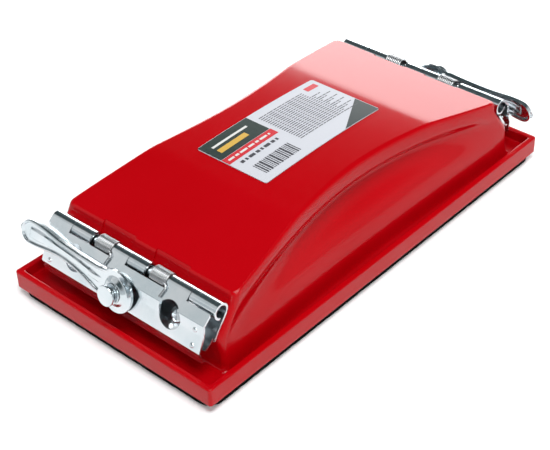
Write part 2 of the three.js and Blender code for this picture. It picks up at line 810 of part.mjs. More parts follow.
// ---- assembly ----
function clampPieces(armRise) {
  const springs = knuckles.filter(([kind]) => kind === 'S');
  return [
    ['back_plate', backPlate(), zincSteel],
    ['jaw_plate', jawPlate(), zincSteel],
    ['hinge_pin', hingePin(), zincSteel],
    ['spring_left', torsionSpring(springs[0][1], springs[0][2]), springSteel],
    ['spring_right', torsionSpring(springs[1][1], springs[1][2]), springSteel],
    ['lever_stud', studSolid(), zincSteel],
    ['stud_collar', collarSolid(), zincSteel],
    ['clamp_lever', leverSolid(armRise), zincSteel],
    ['screw_left', clampScrew(-screwY), zincSteel],
    ['screw_right', clampScrew(screwY), zincSteel],
  ];
}

function clampGroup(prefix, turn, pieces) {
  const group = new THREE.Group();
  group.rotation.z = turn;
  for (const [name, solid, look] of pieces) group.add(meshOf(`${prefix}_${name}`, solid, look));
  return group;
}

const block = new THREE.Group();
block.add(meshOf('body_shell', bodyShell(), redPlastic));
block.add(meshOf('base_plate', basePlate(), redPlastic));
block.add(meshOf('foam_pad', foamPad(), darkFoam));
block.add(meshOf('label', labelSolid(), printedPaper));
block.add(clampGroup('far', 0, clampPieces(farArmRise)));
block.add(clampGroup('near', Math.PI, clampPieces(nearArmRise)));

export default block;
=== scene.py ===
"""Looks of a hand sanding block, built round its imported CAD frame. Metres, +Z up, +X to the far clamp.

Shapes are worked out in millimetres in the CAD frame, and every mesh is scaled to metres once, in
finish_piece. A clamp is built at the +X end; the near one is the same, given half a turn about Z.
"""

import json
import math

import bmesh
import bpy
import numpy as np
from mathutils import Matrix, Vector, noise


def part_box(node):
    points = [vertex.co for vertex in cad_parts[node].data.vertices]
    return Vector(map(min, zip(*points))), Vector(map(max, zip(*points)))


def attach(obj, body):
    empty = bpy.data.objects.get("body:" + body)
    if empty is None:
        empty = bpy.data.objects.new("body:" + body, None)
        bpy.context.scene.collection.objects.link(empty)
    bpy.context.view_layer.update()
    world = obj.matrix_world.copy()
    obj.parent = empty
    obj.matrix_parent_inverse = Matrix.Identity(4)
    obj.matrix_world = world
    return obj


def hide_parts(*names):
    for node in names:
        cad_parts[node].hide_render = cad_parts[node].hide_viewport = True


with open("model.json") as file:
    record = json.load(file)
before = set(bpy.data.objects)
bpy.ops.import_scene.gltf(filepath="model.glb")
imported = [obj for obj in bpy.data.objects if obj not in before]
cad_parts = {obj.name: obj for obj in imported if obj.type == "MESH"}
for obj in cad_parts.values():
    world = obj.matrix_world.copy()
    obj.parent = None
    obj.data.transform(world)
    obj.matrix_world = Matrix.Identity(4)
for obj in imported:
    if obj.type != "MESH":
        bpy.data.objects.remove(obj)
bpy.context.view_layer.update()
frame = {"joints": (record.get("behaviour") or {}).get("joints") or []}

MM = 0.001


def box_mm(node):
    low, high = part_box(node)
    return low / MM, high / MM


def joint(name):
    return next(j for j in frame["joints"] if j["name"] == name)


# ---- sizes taken from the frame ----
BODY_LOW, BODY_HIGH = box_mm("body_shell")
PAD_HIGH = box_mm("foam_pad")[1]
LABEL_LOW, LABEL_HIGH = box_mm("label")
PIN_LOW, PIN_HIGH = box_mm("far_hinge_pin")
PLATE_LOW, PLATE_HIGH = box_mm("base_plate")
HALF_LENGTH = BODY_HIGH.x
HALF_WIDTH = BODY_HIGH.y
TRAY_BOTTOM = BODY_LOW.z
CROWN = BODY_HIGH.z
HINGE = (PIN_LOW + PIN_HIGH) / 2
LEVER_SEAT = Vector(joint("far_lever_turn")["pos_m"]) / MM
STUD_AXIS = Vector(joint("far_collar_slide")["axis"])

# ---- sizes of the moulding, mm ----
TOUCH_GAP = 0.3
FLOOR_THICKNESS = 3.1
LIP_HEIGHT = 4.8
TRAY_FLOOR = TRAY_BOTTOM + FLOOR_THICKNESS
LIP_TOP = TRAY_FLOOR + LIP_HEIGHT
LIP_THICKNESS = 2.6
LIP_ROOT = 0.8
TRAY_CORNER = 1.4
LIP_INNER_CORNER = 1.3
EDGE_RADIUS = 0.6
CROWN_RADIUS = 667
CROWN_REACH = 40
SLOPE_START = 45
NEAR_SLOPE = 0.204
FAR_SLOPE = 0.155
HANDLE_CORNER = 2.5
WALL = 2.8
PLATE_REBATE = 2.0
POCKET_DEPTH = 0.7
POCKET_HALF_WIDTH = 8.6
POCKET_MIDDLES = (-15.3, 12.8)
POCKET_REACH = 88
SCREW_BOSS_RADIUS = 4.2
SCREW_BOSS_ROOT = 3
STUD_BOSS_RADIUS = 5
STUD_BOSS_ROOT = 2
BOSS_LENGTH = 12

# ---- sizes of the pad and the label, mm ----
PAD_CORNER = 6
PAD_SWELL = 1.0
# Cut edge of the foam from the bottom up: share of its thickness and inset.
PAD_EDGE = [(0, 0.6), (0.09, 0.2), (0.3, 0.05), (0.5, 0.15), (0.75, 0.05), (1, 0.1)]
LABEL_CORNER = 1.2
LABEL_GAP = 0.12
LABEL_FACE = 0.37
PRINT_LIFT = 0.02
PRINT_THICKNESS = 0.03

# ---- sizes of the clamp, mm ----
SHEET = 0.9
ROLL_RADIUS = 3.4
SEAT_TILT = math.radians(35.6)
JAW_SLOPE = math.radians(41)
CLAMP_HALF_WIDTH = 43.2
JAW_HALF_WIDTH = 42
SHEET_BEND = 2
KNUCKLE_CLEAR = 0.9
SEAT_PAST_SCREW = 3.6
SEAT_LIP_LENGTH = 3.6
SEAT_LIP_DROP = math.radians(27)
SEAT_LIP_NARROWING = 1.2
HINGE_TO_CREASE = 7.7
CREASE_BEND = 1.2
JAW_FACE = [(96.2, 24.4, 4), (98.9, 17.9, SHEET_BEND), (97.9, 12.8)]
DIMPLE_RADIUS = 1.15
DIMPLE_SUNK = 0.35
DIMPLE_Y = 38
DIMPLE_SPOTS = [(96.0, 25.4), (98.1, 19.4)]
BORE_GAP = 0.35
SCREW_Y = 25.3
SCREW_ALONG_SEAT = 9.3
SCREW_RADIUS = 1.7
SCREW_DEPTH = 12
SCREW_CLEARING = 5.4
RECESS = {"half_length": 2, "half_width": 0.4, "floor": 0.9, "clear": 3, "turn": 0.35}
WIRE_RADIUS = 0.4
COIL_RADIUS = 3.5
COIL_TURNS = 8
COIL_LEAD = 2.8
COIL_TAIL = 0.6
# Points of a spring's upper leg: distance down the jaw and sideways from the coil's end.
SPRING_LEG = [(0.8, 0.1), (1.4, 1), (2.4, 1.9), (6.2, 1.3)]
KNUCKLES = [
    ("J", -43.2, -31.8), ("B", -31.8, -21.2), ("S", -21.2, -10), ("J", -10, -1.3),
    ("B", -1.3, 7.8), ("S", 7.8, 18.8), ("J", 18.8, 30.4), ("B", 30.4, 43.2),
]
SEAT_NORMAL = Vector((math.cos(SEAT_TILT), 0, math.sin(SEAT_TILT)))
SEAT_DOWN = Vector((math.sin(SEAT_TILT), 0, -math.cos(SEAT_TILT)))
SLOPE_NORMAL = Vector((math.sin(JAW_SLOPE), 0, math.cos(JAW_SLOPE)))
SLOPE_DOWN = Vector((math.cos(JAW_SLOPE), 0, -math.sin(JAW_SLOPE)))
ALONG_Y = Vector((0, 1, 0))
SCREW_SEAT = HINGE + SEAT_NORMAL * (SHEET - ROLL_RADIUS) + SEAT_DOWN * SCREW_ALONG_SEAT

ENDS = {"far": Matrix.Identity(4), "near": Matrix.Rotation(math.pi, 4, "Z")}

# ---- sizes of the lever, stud and collar, mm; heights run outward from the jaw along the stud ----
STUD_RADIUS = 2.25
STUD_DEPTH = 19
JAW_STUD_GAP = 1.2
BOSS_TOP = 2.6
COLLAR_THICKNESS = 0.6
LEVER_LIFT = 1.5
COLLAR_BASE = BOSS_TOP + TOUCH_GAP
HEAD_BASE = COLLAR_BASE + COLLAR_THICKNESS + LEVER_LIFT + TOUCH_GAP
HEAD_THICKNESS = 1
HEAD_RADIUS = 4.1
EYE_RADIUS = 8.3
EYE_HEIGHT = 1.1
DOME_RADIUS = 6.2
LEVER_REACH = 52
LEAVE_EYE = 5.6
WAIST_AT = 28
PADDLE_RADIUS = 5.3
PADDLE_CENTRE = LEVER_REACH - PADDLE_RADIUS
ARM_HALF_WIDTH = 3.4
ARM_BOW = 2
ARM_RISE = {"near": math.radians(5), "far": math.radians(1)}
LEVER_SHEET = 0.9
SKIRT_STEPS = (0.45, 0.0)


# ---- materials ----
def new_material(name, color, roughness, metallic=0.0):
    material = bpy.data.materials.new(name)
    material.use_nodes = True
    shader = material.node_tree.nodes["Principled BSDF"]
    shader.inputs["Base Color"].default_value = (*color, 1)
    shader.inputs["Roughness"].default_value = roughness
    shader.inputs["Metallic"].default_value = metallic
    return material, material.node_tree, shader


def noise_node(tree, scale, detail, stretch=(1, 1, 1)):
    place = tree.nodes.new("ShaderNodeTexCoord")
    mapping = tree.nodes.new("ShaderNodeMapping")
    texture = tree.nodes.new("ShaderNodeTexNoise")
    mapping.inputs["Scale"].default_value = stretch
    texture.inputs["Scale"].default_value = scale
    texture.inputs["Detail"].default_value = detail
    tree.links.new(place.outputs["Object"], mapping.inputs["Vector"])
    tree.links.new(mapping.outputs["Vector"], texture.inputs["Vector"])
    return texture.outputs["Fac"]


def ranged(tree, value, low, high):
    spread = tree.nodes.new("ShaderNodeMapRange")
    spread.inputs["To Min"].default_value = low
    spread.inputs["To Max"].default_value = high
    tree.links.new(value, spread.inputs["Value"])
    return spread.outputs["Result"]


def two_tone(tree, value, dark, light, low=0.3, high=0.7):
    ramp = tree.nodes.new("ShaderNodeValToRGB")
    ramp.color_ramp.elements[0].position = low
    ramp.color_ramp.elements[1].position = high
    ramp.color_ramp.elements[0].color = (*dark, 1)
    ramp.color_ramp.elements[1].color = (*light, 1)
    tree.links.new(value, ramp.inputs["Fac"])
    return ramp.outputs["Color"]


def bump(tree, shader, value, strength, distance):
    node = tree.nodes.new("ShaderNodeBump")
    node.inputs["Strength"].default_value = strength
    node.inputs["Distance"].default_value = distance
    tree.links.new(value, node.inputs["Height"])
    tree.links.new(node.outputs["Normal"], shader.inputs["Normal"])


def red_plastic():
    material, tree, shader = new_material("red_plastic", (0.4, 0.0004, 0.003), 0.14)
    shader.inputs["Specular IOR Level"].default_value = 0.2
    cloud = noise_node(tree, 18, 2)
    tone = two_tone(tree, cloud, (0.385, 0.0003, 0.0025), (0.415, 0.0006, 0.004))
    tree.links.new(tone, shader.inputs["Base Color"])
    tree.links.new(ranged(tree, noise_node(tree, 260, 4), 0.1, 0.18), shader.inputs["Roughness"])
    bump(tree, shader, noise_node(tree, 45, 2), 0.08, 0.0003)
    return material


def zinc_steel():
    material, tree, shader = new_material("zinc_steel", (0.76, 0.81, 0.83), 0.2, 1.0)
    tint = two_tone(tree, noise_node(tree, 70, 3), (0.6, 0.67, 0.7), (0.75, 0.77, 0.79))
    tree.links.new(tint, shader.inputs["Base Color"])
    scuffs = noise_node(tree, 900, 5, (0.25, 1, 1))
    tree.links.new(ranged(tree, scuffs, 0.12, 0.28), shader.inputs["Roughness"])
    bump(tree, shader, noise_node(tree, 350, 4), 0.03, 0.0001)
    return material


def spring_steel():
    material, tree, shader = new_material("spring_steel", (0.45, 0.46, 0.47), 0.25, 1.0)
    tree.links.new(ranged(tree, noise_node(tree, 600, 3), 0.15, 0.32), shader.inputs["Roughness"])
    return material


def pad_foam():
    material, tree, shader = new_material("pad_foam", (0.02, 0.02, 0.018), 0.95)
    shader.inputs["Specular IOR Level"].default_value = 0.03
    cells = tree.nodes.new("ShaderNodeTexVoronoi")
    cells.inputs["Scale"].default_value = 1100
    place = tree.nodes.new("ShaderNodeTexCoord")
    tree.links.new(place.outputs["Object"], cells.inputs["Vector"])
    speck = two_tone(tree, noise_node(tree, 700, 4), (0.0008, 0.0008, 0.0007), (0.012, 0.011, 0.01))
    tree.links.new(speck, shader.inputs["Base Color"])
    bump(tree, shader, cells.outputs["Distance"], 0.8, 0.0005)
    return material


def ink(name, color, roughness=0.35):
    material, tree, shader = new_material(name, color, roughness)
    shader.inputs["Specular IOR Level"].default_value = 0.25
    tree.links.new(ranged(tree, noise_node(tree, 500, 2), roughness - 0.06, roughness + 0.06),
                   shader.inputs["Roughness"])
    return material


RED = red_plastic()
ZINC = zinc_steel()
SPRING = spring_steel()
FOAM = pad_foam()


# ---- mesh tools ----
def object_from(name, bm):
    bmesh.ops.remove_doubles(bm, verts=bm.verts, dist=1e-4)
    bmesh.ops.recalc_face_normals(bm, faces=bm.faces)
    mesh = bpy.data.meshes.new(name)
    bm.to_mesh(mesh)
    bm.free()
    piece = bpy.data.objects.new(name, mesh)
    bpy.context.scene.collection.objects.link(piece)
    return piece


def through_rings(rings, capped=True):
    """A mesh through rings of equal point count, closed flat at both ends when capped."""
    bm = bmesh.new()
    verts = [[bm.verts.new(p) for p in r] for r in rings]
    count = len(verts[0])
    for low, high in zip(verts, verts[1:]):
        for i in range(count):
            k = (i + 1) % count
            bm.faces.new((low[i], low[k], high[k], high[i]))
    if capped:
        bm.faces.new(verts[0])
        bm.faces.new(verts[-1])
    return bm


def bake(piece):
    """Applies the piece's modifiers to its mesh."""
    graph = bpy.context.evaluated_depsgraph_get()
    mesh = bpy.data.meshes.new_from_object(piece.evaluated_get(graph))
    piece.modifiers.clear()
    piece.data = mesh


def combine(piece, tools, operation="DIFFERENCE"):
    """Cuts the tools from the piece, or joins them to it, and removes them."""
    for tool in tools:
        cut = piece.modifiers.new("cut", "BOOLEAN")
        cut.operation = operation
        cut.solver = "EXACT"
        cut.object = tool
    bake(piece)
    for tool in tools:
        bpy.data.objects.remove(tool)


def finish_piece(piece, material, body, nodes, turn=None, angle=35, bevel=0.0):
    """Scales a millimetre mesh to metres, softens its edges and puts it in the frame."""
    piece.data.transform(Matrix.Scale(MM, 4))
    if turn is not None:
        piece.data.transform(turn)
    piece.data.materials.clear()
    piece.data.materials.append(material)
    for polygon in piece.data.polygons:
        polygon.use_smooth = True
    if bevel:
        edge = piece.modifiers.new("edges", "BEVEL")
        edge.width = bevel * MM
        edge.segments = 2
        edge.limit_method = "ANGLE"
        edge.angle_limit = math.radians(angle)
        edge.use_clamp_overlap = True
        bake(piece)
    piece.data.set_sharp_from_angle(angle=math.radians(angle))
    weighted = piece.modifiers.new("normals", "WEIGHTED_NORMAL")
    weighted.keep_sharp = True
    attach(piece, body)
    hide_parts(*nodes)


def turned(name, profile, start, axis, segments=48):
    """A round solid from (radius, height) points along an axis."""
    bm = bmesh.new()
    rings = []
    for radius, height in profile:
        if radius < 1e-6:
            rings.append([bm.verts.new((0, 0, height))])
            continue
        ring = [2 * math.pi * i / segments for i in range(segments)]
        rings.append([bm.verts.new((radius * math.cos(a), radius * math.sin(a), height)) for a in ring])
    closed = profile[0][0] > 1e-6
    pairs = list(zip(rings, rings[1:] + rings[:1] if closed else rings[1:]))
    for low, high in pairs:
        for i in range(segments):
            k = (i + 1) % segments
            corners = [low[i % len(low)], low[k % len(low)], high[k % len(high)], high[i % len(high)]]
            corners = list(dict.fromkeys(corners))
            if len(corners) > 2:
                bm.faces.new(corners)
    piece = object_from(name, bm)
    place = Matrix.Translation(start) @ Vector(axis).to_track_quat("Z", "Y").to_matrix().to_4x4()
    piece.data.transform(place)
    return piece


def bar(start, axis, length, radius, segments=48):
    return turned("tool", [(0, 0), (radius, 0), (radius, length), (0, length)], start, axis, segments)


def block_between(low, high):
    bm = bmesh.new()
    bmesh.ops.create_cube(bm, size=1)
    piece = object_from("tool", bm)
    low, high = Vector(low), Vector(high)
    size = Matrix.Diagonal((*(high - low), 1))
    piece.data.transform(Matrix.Translation((low + high) / 2) @ size)
    return piece


# ---- body ----
def top_height(x):
    far = np.abs(x)
    end_slope = np.where(np.asarray(x) > 0, FAR_SLOPE, NEAR_SLOPE)
    crown = CROWN - far**2 / (2 * CROWN_RADIUS)
    bend = SLOPE_START - CROWN_REACH
    start_slope = CROWN_REACH / CROWN_RADIUS
    run = np.clip(far - CROWN_REACH, 0, bend)
    bent = CROWN - CROWN_REACH**2 / (2 * CROWN_RADIUS) - start_slope * run
    bent = bent - (end_slope - start_slope) / (2 * bend) * run**2
    slope = bent - end_slope * np.maximum(far - SLOPE_START, 0)
    return np.where(far <= CROWN_REACH, crown, slope)


def level(u, w, z=None, below=None, radius=HANDLE_CORNER):
    """One level round the moulding: half-length, half-widths in the middle and at the end, and heights
    in the middle, at the corner and at the end, or a depth below the handle's top."""
    return {"u": u, "w": w, "z": z, "below": below, "radius": radius}


SIDE_STEPS, END_STEPS, CORNER_STEPS = 72, 30, 10


def quarter(lev):
    u, radius, end_width = lev["u"], lev["radius"], lev["w"][1]
    across = -np.linspace(0, 1, END_STEPS, endpoint=False) * (end_width - radius)
    angle = np.linspace(math.pi, 1.5 * math.pi, CORNER_STEPS + 1)
    reach = u - radius
    along = np.linspace(-reach, 0, SIDE_STEPS + 1)[1:]
    t = np.abs(along) / reach
    share = t * t * (2 - t)
    x = np.concatenate([np.full(END_STEPS, -u), -reach + radius * np.cos(angle), along])
    width = lev["w"][0] + (lev["w"][1] - lev["w"][0]) * share
    y = np.concatenate([across, -(end_width - radius) + radius * np.sin(angle), -width])
    return np.stack([x, y], 1)


def ring(lev):
    front = quarter(lev)
    half = np.concatenate([front, front[-2::-1] * [-1, 1]])
    outline = np.concatenate([half, half[-2:0:-1] * [1, -1]])
    x = outline[:, 0]
    if lev["below"] is not None:
        z = top_height(x) - lev["below"]
    else:
        middle, corner, end = lev["z"]
        reach = lev["u"] - lev["radius"]
        side = middle + (corner - middle) * np.clip(np.abs(x) / reach, 0, 1) ** 3
        z = side + (end - corner) * np.clip((np.abs(x) - reach) / lev["radius"], 0, 1)
    return np.column_stack([outline, z])


def flat(u, w, z, radius):
    return ring(level(u, (w, w), (z, z, z), radius=radius))


def spine(top, reach, drop=0.0):
    x = np.clip(top[:, 0], -reach, reach)
    return np.column_stack([x, np.zeros_like(x), top_height(x) - drop])


def eased(rings, steps):
    """Rings on a smooth curve through the given ones."""
    made = []
    for i in range(len(rings) - 1):
        before, a, b = rings[max(i - 1, 0)], rings[i], rings[i + 1]
        after = rings[min(i + 2, len(rings) - 1)]
        span = [np.maximum(np.linalg.norm(q - p, axis=1), 1e-3)[:, None] ** 0.5
                for p, q in ((before, a), (a, b), (b, after))]
        into = (a - before) / span[0] - (b - before) / (span[0] + span[1]) + (b - a) / span[1]
        out = (b - a) / span[1] - (after - a) / (span[1] + span[2]) + (after - b) / span[2]
        if i == 0:
            into = (b - a) / span[1]
        if i == len(rings) - 2:
            out = (b - a) / span[1]
        into, out = into * span[1], out * span[1]
        for t in np.linspace(0, 1, steps, endpoint=False):
            blend = (2 * t**3 - 3 * t**2 + 1) * a + (t**3 - 2 * t**2 + t) * into
            made.append(blend + (3 * t**2 - 2 * t**3) * b + (t**3 - t**2) * out)
    made.append(rings[-1])
    return made


def quarter_round(centre_inset, centre_z, radius, start, end, corner, steps=5):
    """Rings round an edge of the tray; insets are measured from the tray's outside."""
    made = []
    for angle in np.radians(np.linspace(start, end, steps)):
        inset = centre_inset - radius * math.cos(angle)
        z = centre_z + radius * math.sin(angle)
        made.append(flat(HALF_LENGTH - inset, HALF_WIDTH - inset, z, max(corner - inset, 0.4)))
    return made


HANDLE_LEVELS = [
    level(90.9, (44.8, 46.6), (8.6, 8.6, 8.6)),
    level(90.8, (43.6, 46.2), (15, 10.6, 11)),
    level(90.75, (40.5, 45.9), (22.5, 12.4, 13.5)),
    level(90.7, (34.6, 45.2), (29, 19, 20.6)),
    level(87.0, (31.8, 44.7), (33.5, 25, 25.8)),
    level(83.55, (34.6, 44.5), (36.8, 29.6, 30.6)),
    level(82.4, (34.9, 44.4), (39.8, 32.2, 32.5)),
    level(82.0, (34.4, 44.1), below=1.2),
    level(81.6, (33.6, 43.8), below=0.4),
    level(80.9, (32.5, 43.2), below=0),
]
CAVITY_LEVELS = [
    level(87.5, (41.5, 43), (6.5, 6.5, 6.5)),
    level(87, (38, 42), (18, 12, 17.5)),
    level(81, (29.4, 40.8), (29.5, 24, 27)),
    level(78.3, (29.3, 39.5), below=WALL),
]


def plate_outline(grow, z):
    base = CAVITY_LEVELS[0]
    return ring(level(base["u"] + grow, tuple(w + grow for w in base["w"]), (z, z, z)))


def body_rings():
    inside = [ring(lev) for lev in reversed(CAVITY_LEVELS)]
    rings = [spine(inside[0], CAVITY_LEVELS[-1]["u"] - 3, WALL), *inside]
    rings += [plate_outline(PLATE_REBATE, z) for z in (PLATE_HIGH.z + TOUCH_GAP, TRAY_BOTTOM)]
    r = EDGE_RADIUS
    rings += quarter_round(r, TRAY_BOTTOM + r, r, -90, 0, TRAY_CORNER)
    rings += quarter_round(r, LIP_TOP - r, r, 0, 90, TRAY_CORNER)
    rings += quarter_round(LIP_THICKNESS - r, LIP_TOP - r, r, 90, 180, LIP_INNER_CORNER + LIP_THICKNESS)
    for angle in np.radians(np.linspace(0, 90, 5)):
        inset = LIP_THICKNESS + LIP_ROOT * (1 - math.cos(angle))
        z = TRAY_FLOOR + LIP_ROOT * (1 - math.sin(angle))
        rings.append(flat(HALF_LENGTH - inset, HALF_WIDTH - inset, z, LIP_INNER_CORNER))
    foot = [
        ring(level(93.2, (47.2, 49.0), (TRAY_FLOOR,) * 3)),
        ring(level(91.9, (45.8, 47.6), (TRAY_FLOOR + 0.35,) * 3)),
        ring(level(91.2, (45.1, 46.9), (TRAY_FLOOR + 1.1,) * 3)),
    ]
    handle = [ring(lev) for lev in HANDLE_LEVELS]
    rings += foot + eased(handle, 6)
    top = HANDLE_LEVELS[-1]
    for inset in (0.5, 2, 6):
        rings.append(ring(level(top["u"] - inset, tuple(w - inset for w in top["w"]), below=0)))
    rings.append(spine(rings[-1], top["u"] - 9))
    return rings


def skin(name, rings):
    """A closed shape through rings whose first and last ones have shrunk to a line."""
    bm = through_rings(rings, capped=False)
    bmesh.ops.remove_doubles(bm, verts=bm.verts, dist=1e-4)
    bmesh.ops.dissolve_degenerate(bm, dist=1e-5, edges=bm.edges)
    return object_from(name, bm)


def pocket_tool(middle_y, end):
    """A shallow pocket that follows the end wall behind a spring, open at its top edge; end is 1 at +X."""
    wall_line = []
    for lev in HANDLE_LEVELS:
        if lev["u"] > POCKET_REACH:
            continue
        z = top_height(end * lev["u"]) - lev["below"] if lev["below"] is not None else lev["z"][2]
        wall_line.append((lev["u"] - POCKET_DEPTH, float(z)))
    clear = wall_line[-1][1] + 2
    outline = [*wall_line, (wall_line[-1][0], clear), (HINGE.x, clear), (HINGE.x, wall_line[0][1])]
    sides = (middle_y - POCKET_HALF_WIDTH, middle_y + POCKET_HALF_WIDTH)
    return object_from("tool", through_rings([[(x, y, z) for x, z in outline] for y in sides]))


def body_tools():
    """Spring pockets and fastener bores to cut, for both ends."""
    tools = []
    for end, turn in ((1, ENDS["far"]), (-1, ENDS["near"])):
        cuts = [pocket_tool(y, end) for y in POCKET_MIDDLES]
        cuts += screw_tools(SCREW_RADIUS + BORE_GAP, -SCREW_DEPTH - BORE_GAP, SCREW_DEPTH + 2, 24)
        cuts.append(stud_tool(STUD_RADIUS + BORE_GAP, -STUD_DEPTH - BORE_GAP, STUD_DEPTH + 5, 24))
        for cut in cuts:
            cut.data.transform(turn)
        tools += cuts
    return tools


def body_bosses():
    """Bosses inside the handle that take the clamp's screws and stud, for both ends."""
    bosses = []
    for turn in ENDS.values():
        made = screw_tools(SCREW_BOSS_RADIUS, -SCREW_DEPTH - SCREW_BOSS_ROOT, BOSS_LENGTH, 24)
        made.append(stud_tool(STUD_BOSS_RADIUS, -STUD_DEPTH - STUD_BOSS_ROOT, BOSS_LENGTH, 24))
        for boss in made:
            boss.data.transform(turn)
        bosses += made
    return bosses


def make_body():
    shell = skin("moulded_body", body_rings())
    combine(shell, body_bosses(), "UNION")
    combine(shell, body_tools())
    finish_piece(shell, RED, "block", ["body_shell"], angle=40)


def make_base_plate():
    rings = [plate_outline(PLATE_REBATE - TOUCH_GAP, z) for z in (PLATE_LOW.z, PLATE_HIGH.z)]
    plate = object_from("closing_plate", through_rings(rings))
    finish_piece(plate, RED, "block", ["base_plate"], bevel=0.2)


def make_pad():
    """Foam slab that stands PAD_SWELL out past the CAD pad all round, its cut edge slightly uneven."""
    rings = []
    for share, inset in PAD_EDGE:
        out = PAD_SWELL - inset
        outline = flat(PAD_HIGH.x + out, PAD_HIGH.y + out, share * PAD_HIGH.z, PAD_CORNER)
        for point in outline:
            rough = noise.noise(Vector(point) * 0.55) * 0.22 + noise.noise(Vector(point) * 1.9) * 0.12
            point[:2] *= 1 - max(rough, 0) / 60
        rings.append(outline)
    pad = object_from("foam_slab", through_rings(rings))
    finish_piece(pad, FOAM, "block", ["foam_pad"], angle=50)


# ---- label ----
def crown_slab(bm, outline, low, high, step=4.0):
    """A thin slab over an outline on the handle's crown, cut every few millimetres along X."""
    xs = [p[0] for p in outline]
    first, last = min(xs), max(xs)
    flat_bm = bmesh.new()
    flat_bm.faces.new([flat_bm.verts.new((x, y, 0)) for x, y in outline])
    cuts = np.arange(math.ceil(first / step) * step, last, step)
    for x in cuts:
        if first + 0.05 < x < last - 0.05:
            geometry = flat_bm.verts[:] + flat_bm.edges[:] + flat_bm.faces[:]
            bmesh.ops.bisect_plane(flat_bm, geom=geometry, plane_co=(x, 0, 0), plane_no=(1, 0, 0))
    base = {}
    for vert in flat_bm.verts:
        z = float(top_height(vert.co.x))
        base[vert] = [bm.verts.new((vert.co.x, vert.co.y, z + lift)) for lift in (low, high)]
    for face in flat_bm.faces:
        bm.faces.new([base[v][1] for v in face.verts])
        bm.faces.new([base[v][0] for v in reversed(face.verts)])
    for edge in flat_bm.edges:
        if len(edge.link_faces) == 1:
            a, b = (base[v] for v in edge.verts)
            bm.faces.new([a[0], b[0], b[1], a[1]])
    flat_bm.free()


def rectangle(x0, x1, y0, y1):
    return [(x0, y0), (x1, y0), (x1, y1), (x0, y1)]


def dashes(x0, x1, y, height, lengths, gap):
    """A row of short plain bars that stands for a line of small print."""
    made, x, i = [], x0, 0
    while x < x1 - 0.5:
        end = min(x + lengths[i % len(lengths)], x1)
        made.append(rectangle(x, end, y - height / 2, y + height / 2))
        x = end + gap
        i += 1
    return made


def label_print():
    """Plain coloured shapes, by ink, in place of the real label's print."""
    left, right = LABEL_LOW.x, LABEL_HIGH.x
    top, bottom = LABEL_HIGH.y, LABEL_LOW.y
    print_shapes = {
        "ink_green": [rectangle(left + 0.2, -4.5, 8.4, top - 0.2)],
        "ink_red": [rectangle(left + 0.2, -4.2, 3.8, 8.2), rectangle(28, 35, 15.6, 18.6)],
        "ink_charcoal": [[(right - 0.3, -2.6), (15, bottom + 0.2), (right - 0.3, bottom + 0.2)]],
        "ink_gold": [rectangle(-29, -13, 11.6, 14.4)],
        "ink_pale": [rectangle(-29, -9, 16.2, 17.4), *dashes(-31, -7, 6, 1.1, [3.2, 1.8, 4.1], 0.8)],
        "ink_black": [],
    }
    black = print_shapes["ink_black"]
    black += dashes(-29, -7, 1.2, 1.6, [1.8, 1.1, 3.2], 0.9)
    x, widths, i = -28.0, (0.35, 0.8, 0.5, 1.1, 0.35), 0
    while x < -7.5:
        width = widths[i % len(widths)]
        black.append(rectangle(x, x + width, -11.3, -3.8))
        x += width + 0.55
        i += 1
    text_rows, first_row_y, row_pitch = 19, 16.6, 1.25
    for row in range(text_rows):
        y = first_row_y - row * row_pitch
        reach = 25 if row < 4 else 35 - (row % 3) * 4
        black += dashes(-1.8, reach, y, 0.45, [2.6, 1.4, 3.5, 2.0], 0.45)
    return print_shapes


def make_label():
    corner = LABEL_CORNER
    outline = []
    for sx, sy, start in ((1, 1, 0), (-1, 1, 90), (-1, -1, 180), (1, -1, 270)):
        cx = (LABEL_HIGH.x if sx > 0 else LABEL_LOW.x) - sx * corner
        cy = (LABEL_HIGH.y if sy > 0 else LABEL_LOW.y) - sy * corner
        for a in np.radians(np.linspace(start, start + 90, 6)):
            outline.append((cx + corner * math.cos(a), cy + corner * math.sin(a)))
    bm = bmesh.new()
    crown_slab(bm, outline, LABEL_GAP, LABEL_FACE)
    paper = ink("label_paper", (0.5, 0.51, 0.55), 0.5)
    finish_piece(object_from("label_sheet", bm), paper, "block", ["label"])
    colors = {
        "ink_green": (0.008, 0.022, 0.018),
        "ink_red": (0.5, 0.01, 0.02),
        "ink_charcoal": (0.012, 0.022, 0.022),
        "ink_gold": (0.55, 0.33, 0.05),
        "ink_pale": (0.6, 0.6, 0.58),
        "ink_black": (0.04, 0.04, 0.05),
    }
    for name, outlines in label_print().items():
        lift = LABEL_FACE + PRINT_LIFT + (PRINT_THICKNESS * 1.5 if name in ("ink_gold", "ink_pale") else 0)
        bm = bmesh.new()
        for outline in outlines:
            crown_slab(bm, outline, lift, lift + PRINT_THICKNESS)
        piece = object_from("label_" + name, bm)
        finish_piece(piece, ink(name, colors[name]), "block", [])


# ---- clamp ----
def bent_path(corners, steps=8):
    path = [corners[0][:2]]
    for before, corner, after in zip(corners, corners[1:], corners[2:]):
        middle = Vector(corner[:2])
        a = (Vector(before[:2]) - middle).normalized()
        b = (Vector(after[:2]) - middle).normalized()
        reach = corner[2] / math.tan(math.acos(a.dot(b)) / 2)
        start, end = middle + a * reach, middle + b * reach
        for t in np.linspace(0, 1, steps + 1):
            point = start * (1 - t) ** 2 + middle * 2 * t * (1 - t) + end * t * t
            path.append(tuple(point))
    path.append(corners[-1][:2])
    return path


def roll_path(start, end, steps=44):
    return [(HINGE.x + ROLL_RADIUS * math.cos(a), HINGE.z + ROLL_RADIUS * math.sin(a))
            for a in np.radians(np.linspace(start, end, steps + 1))]


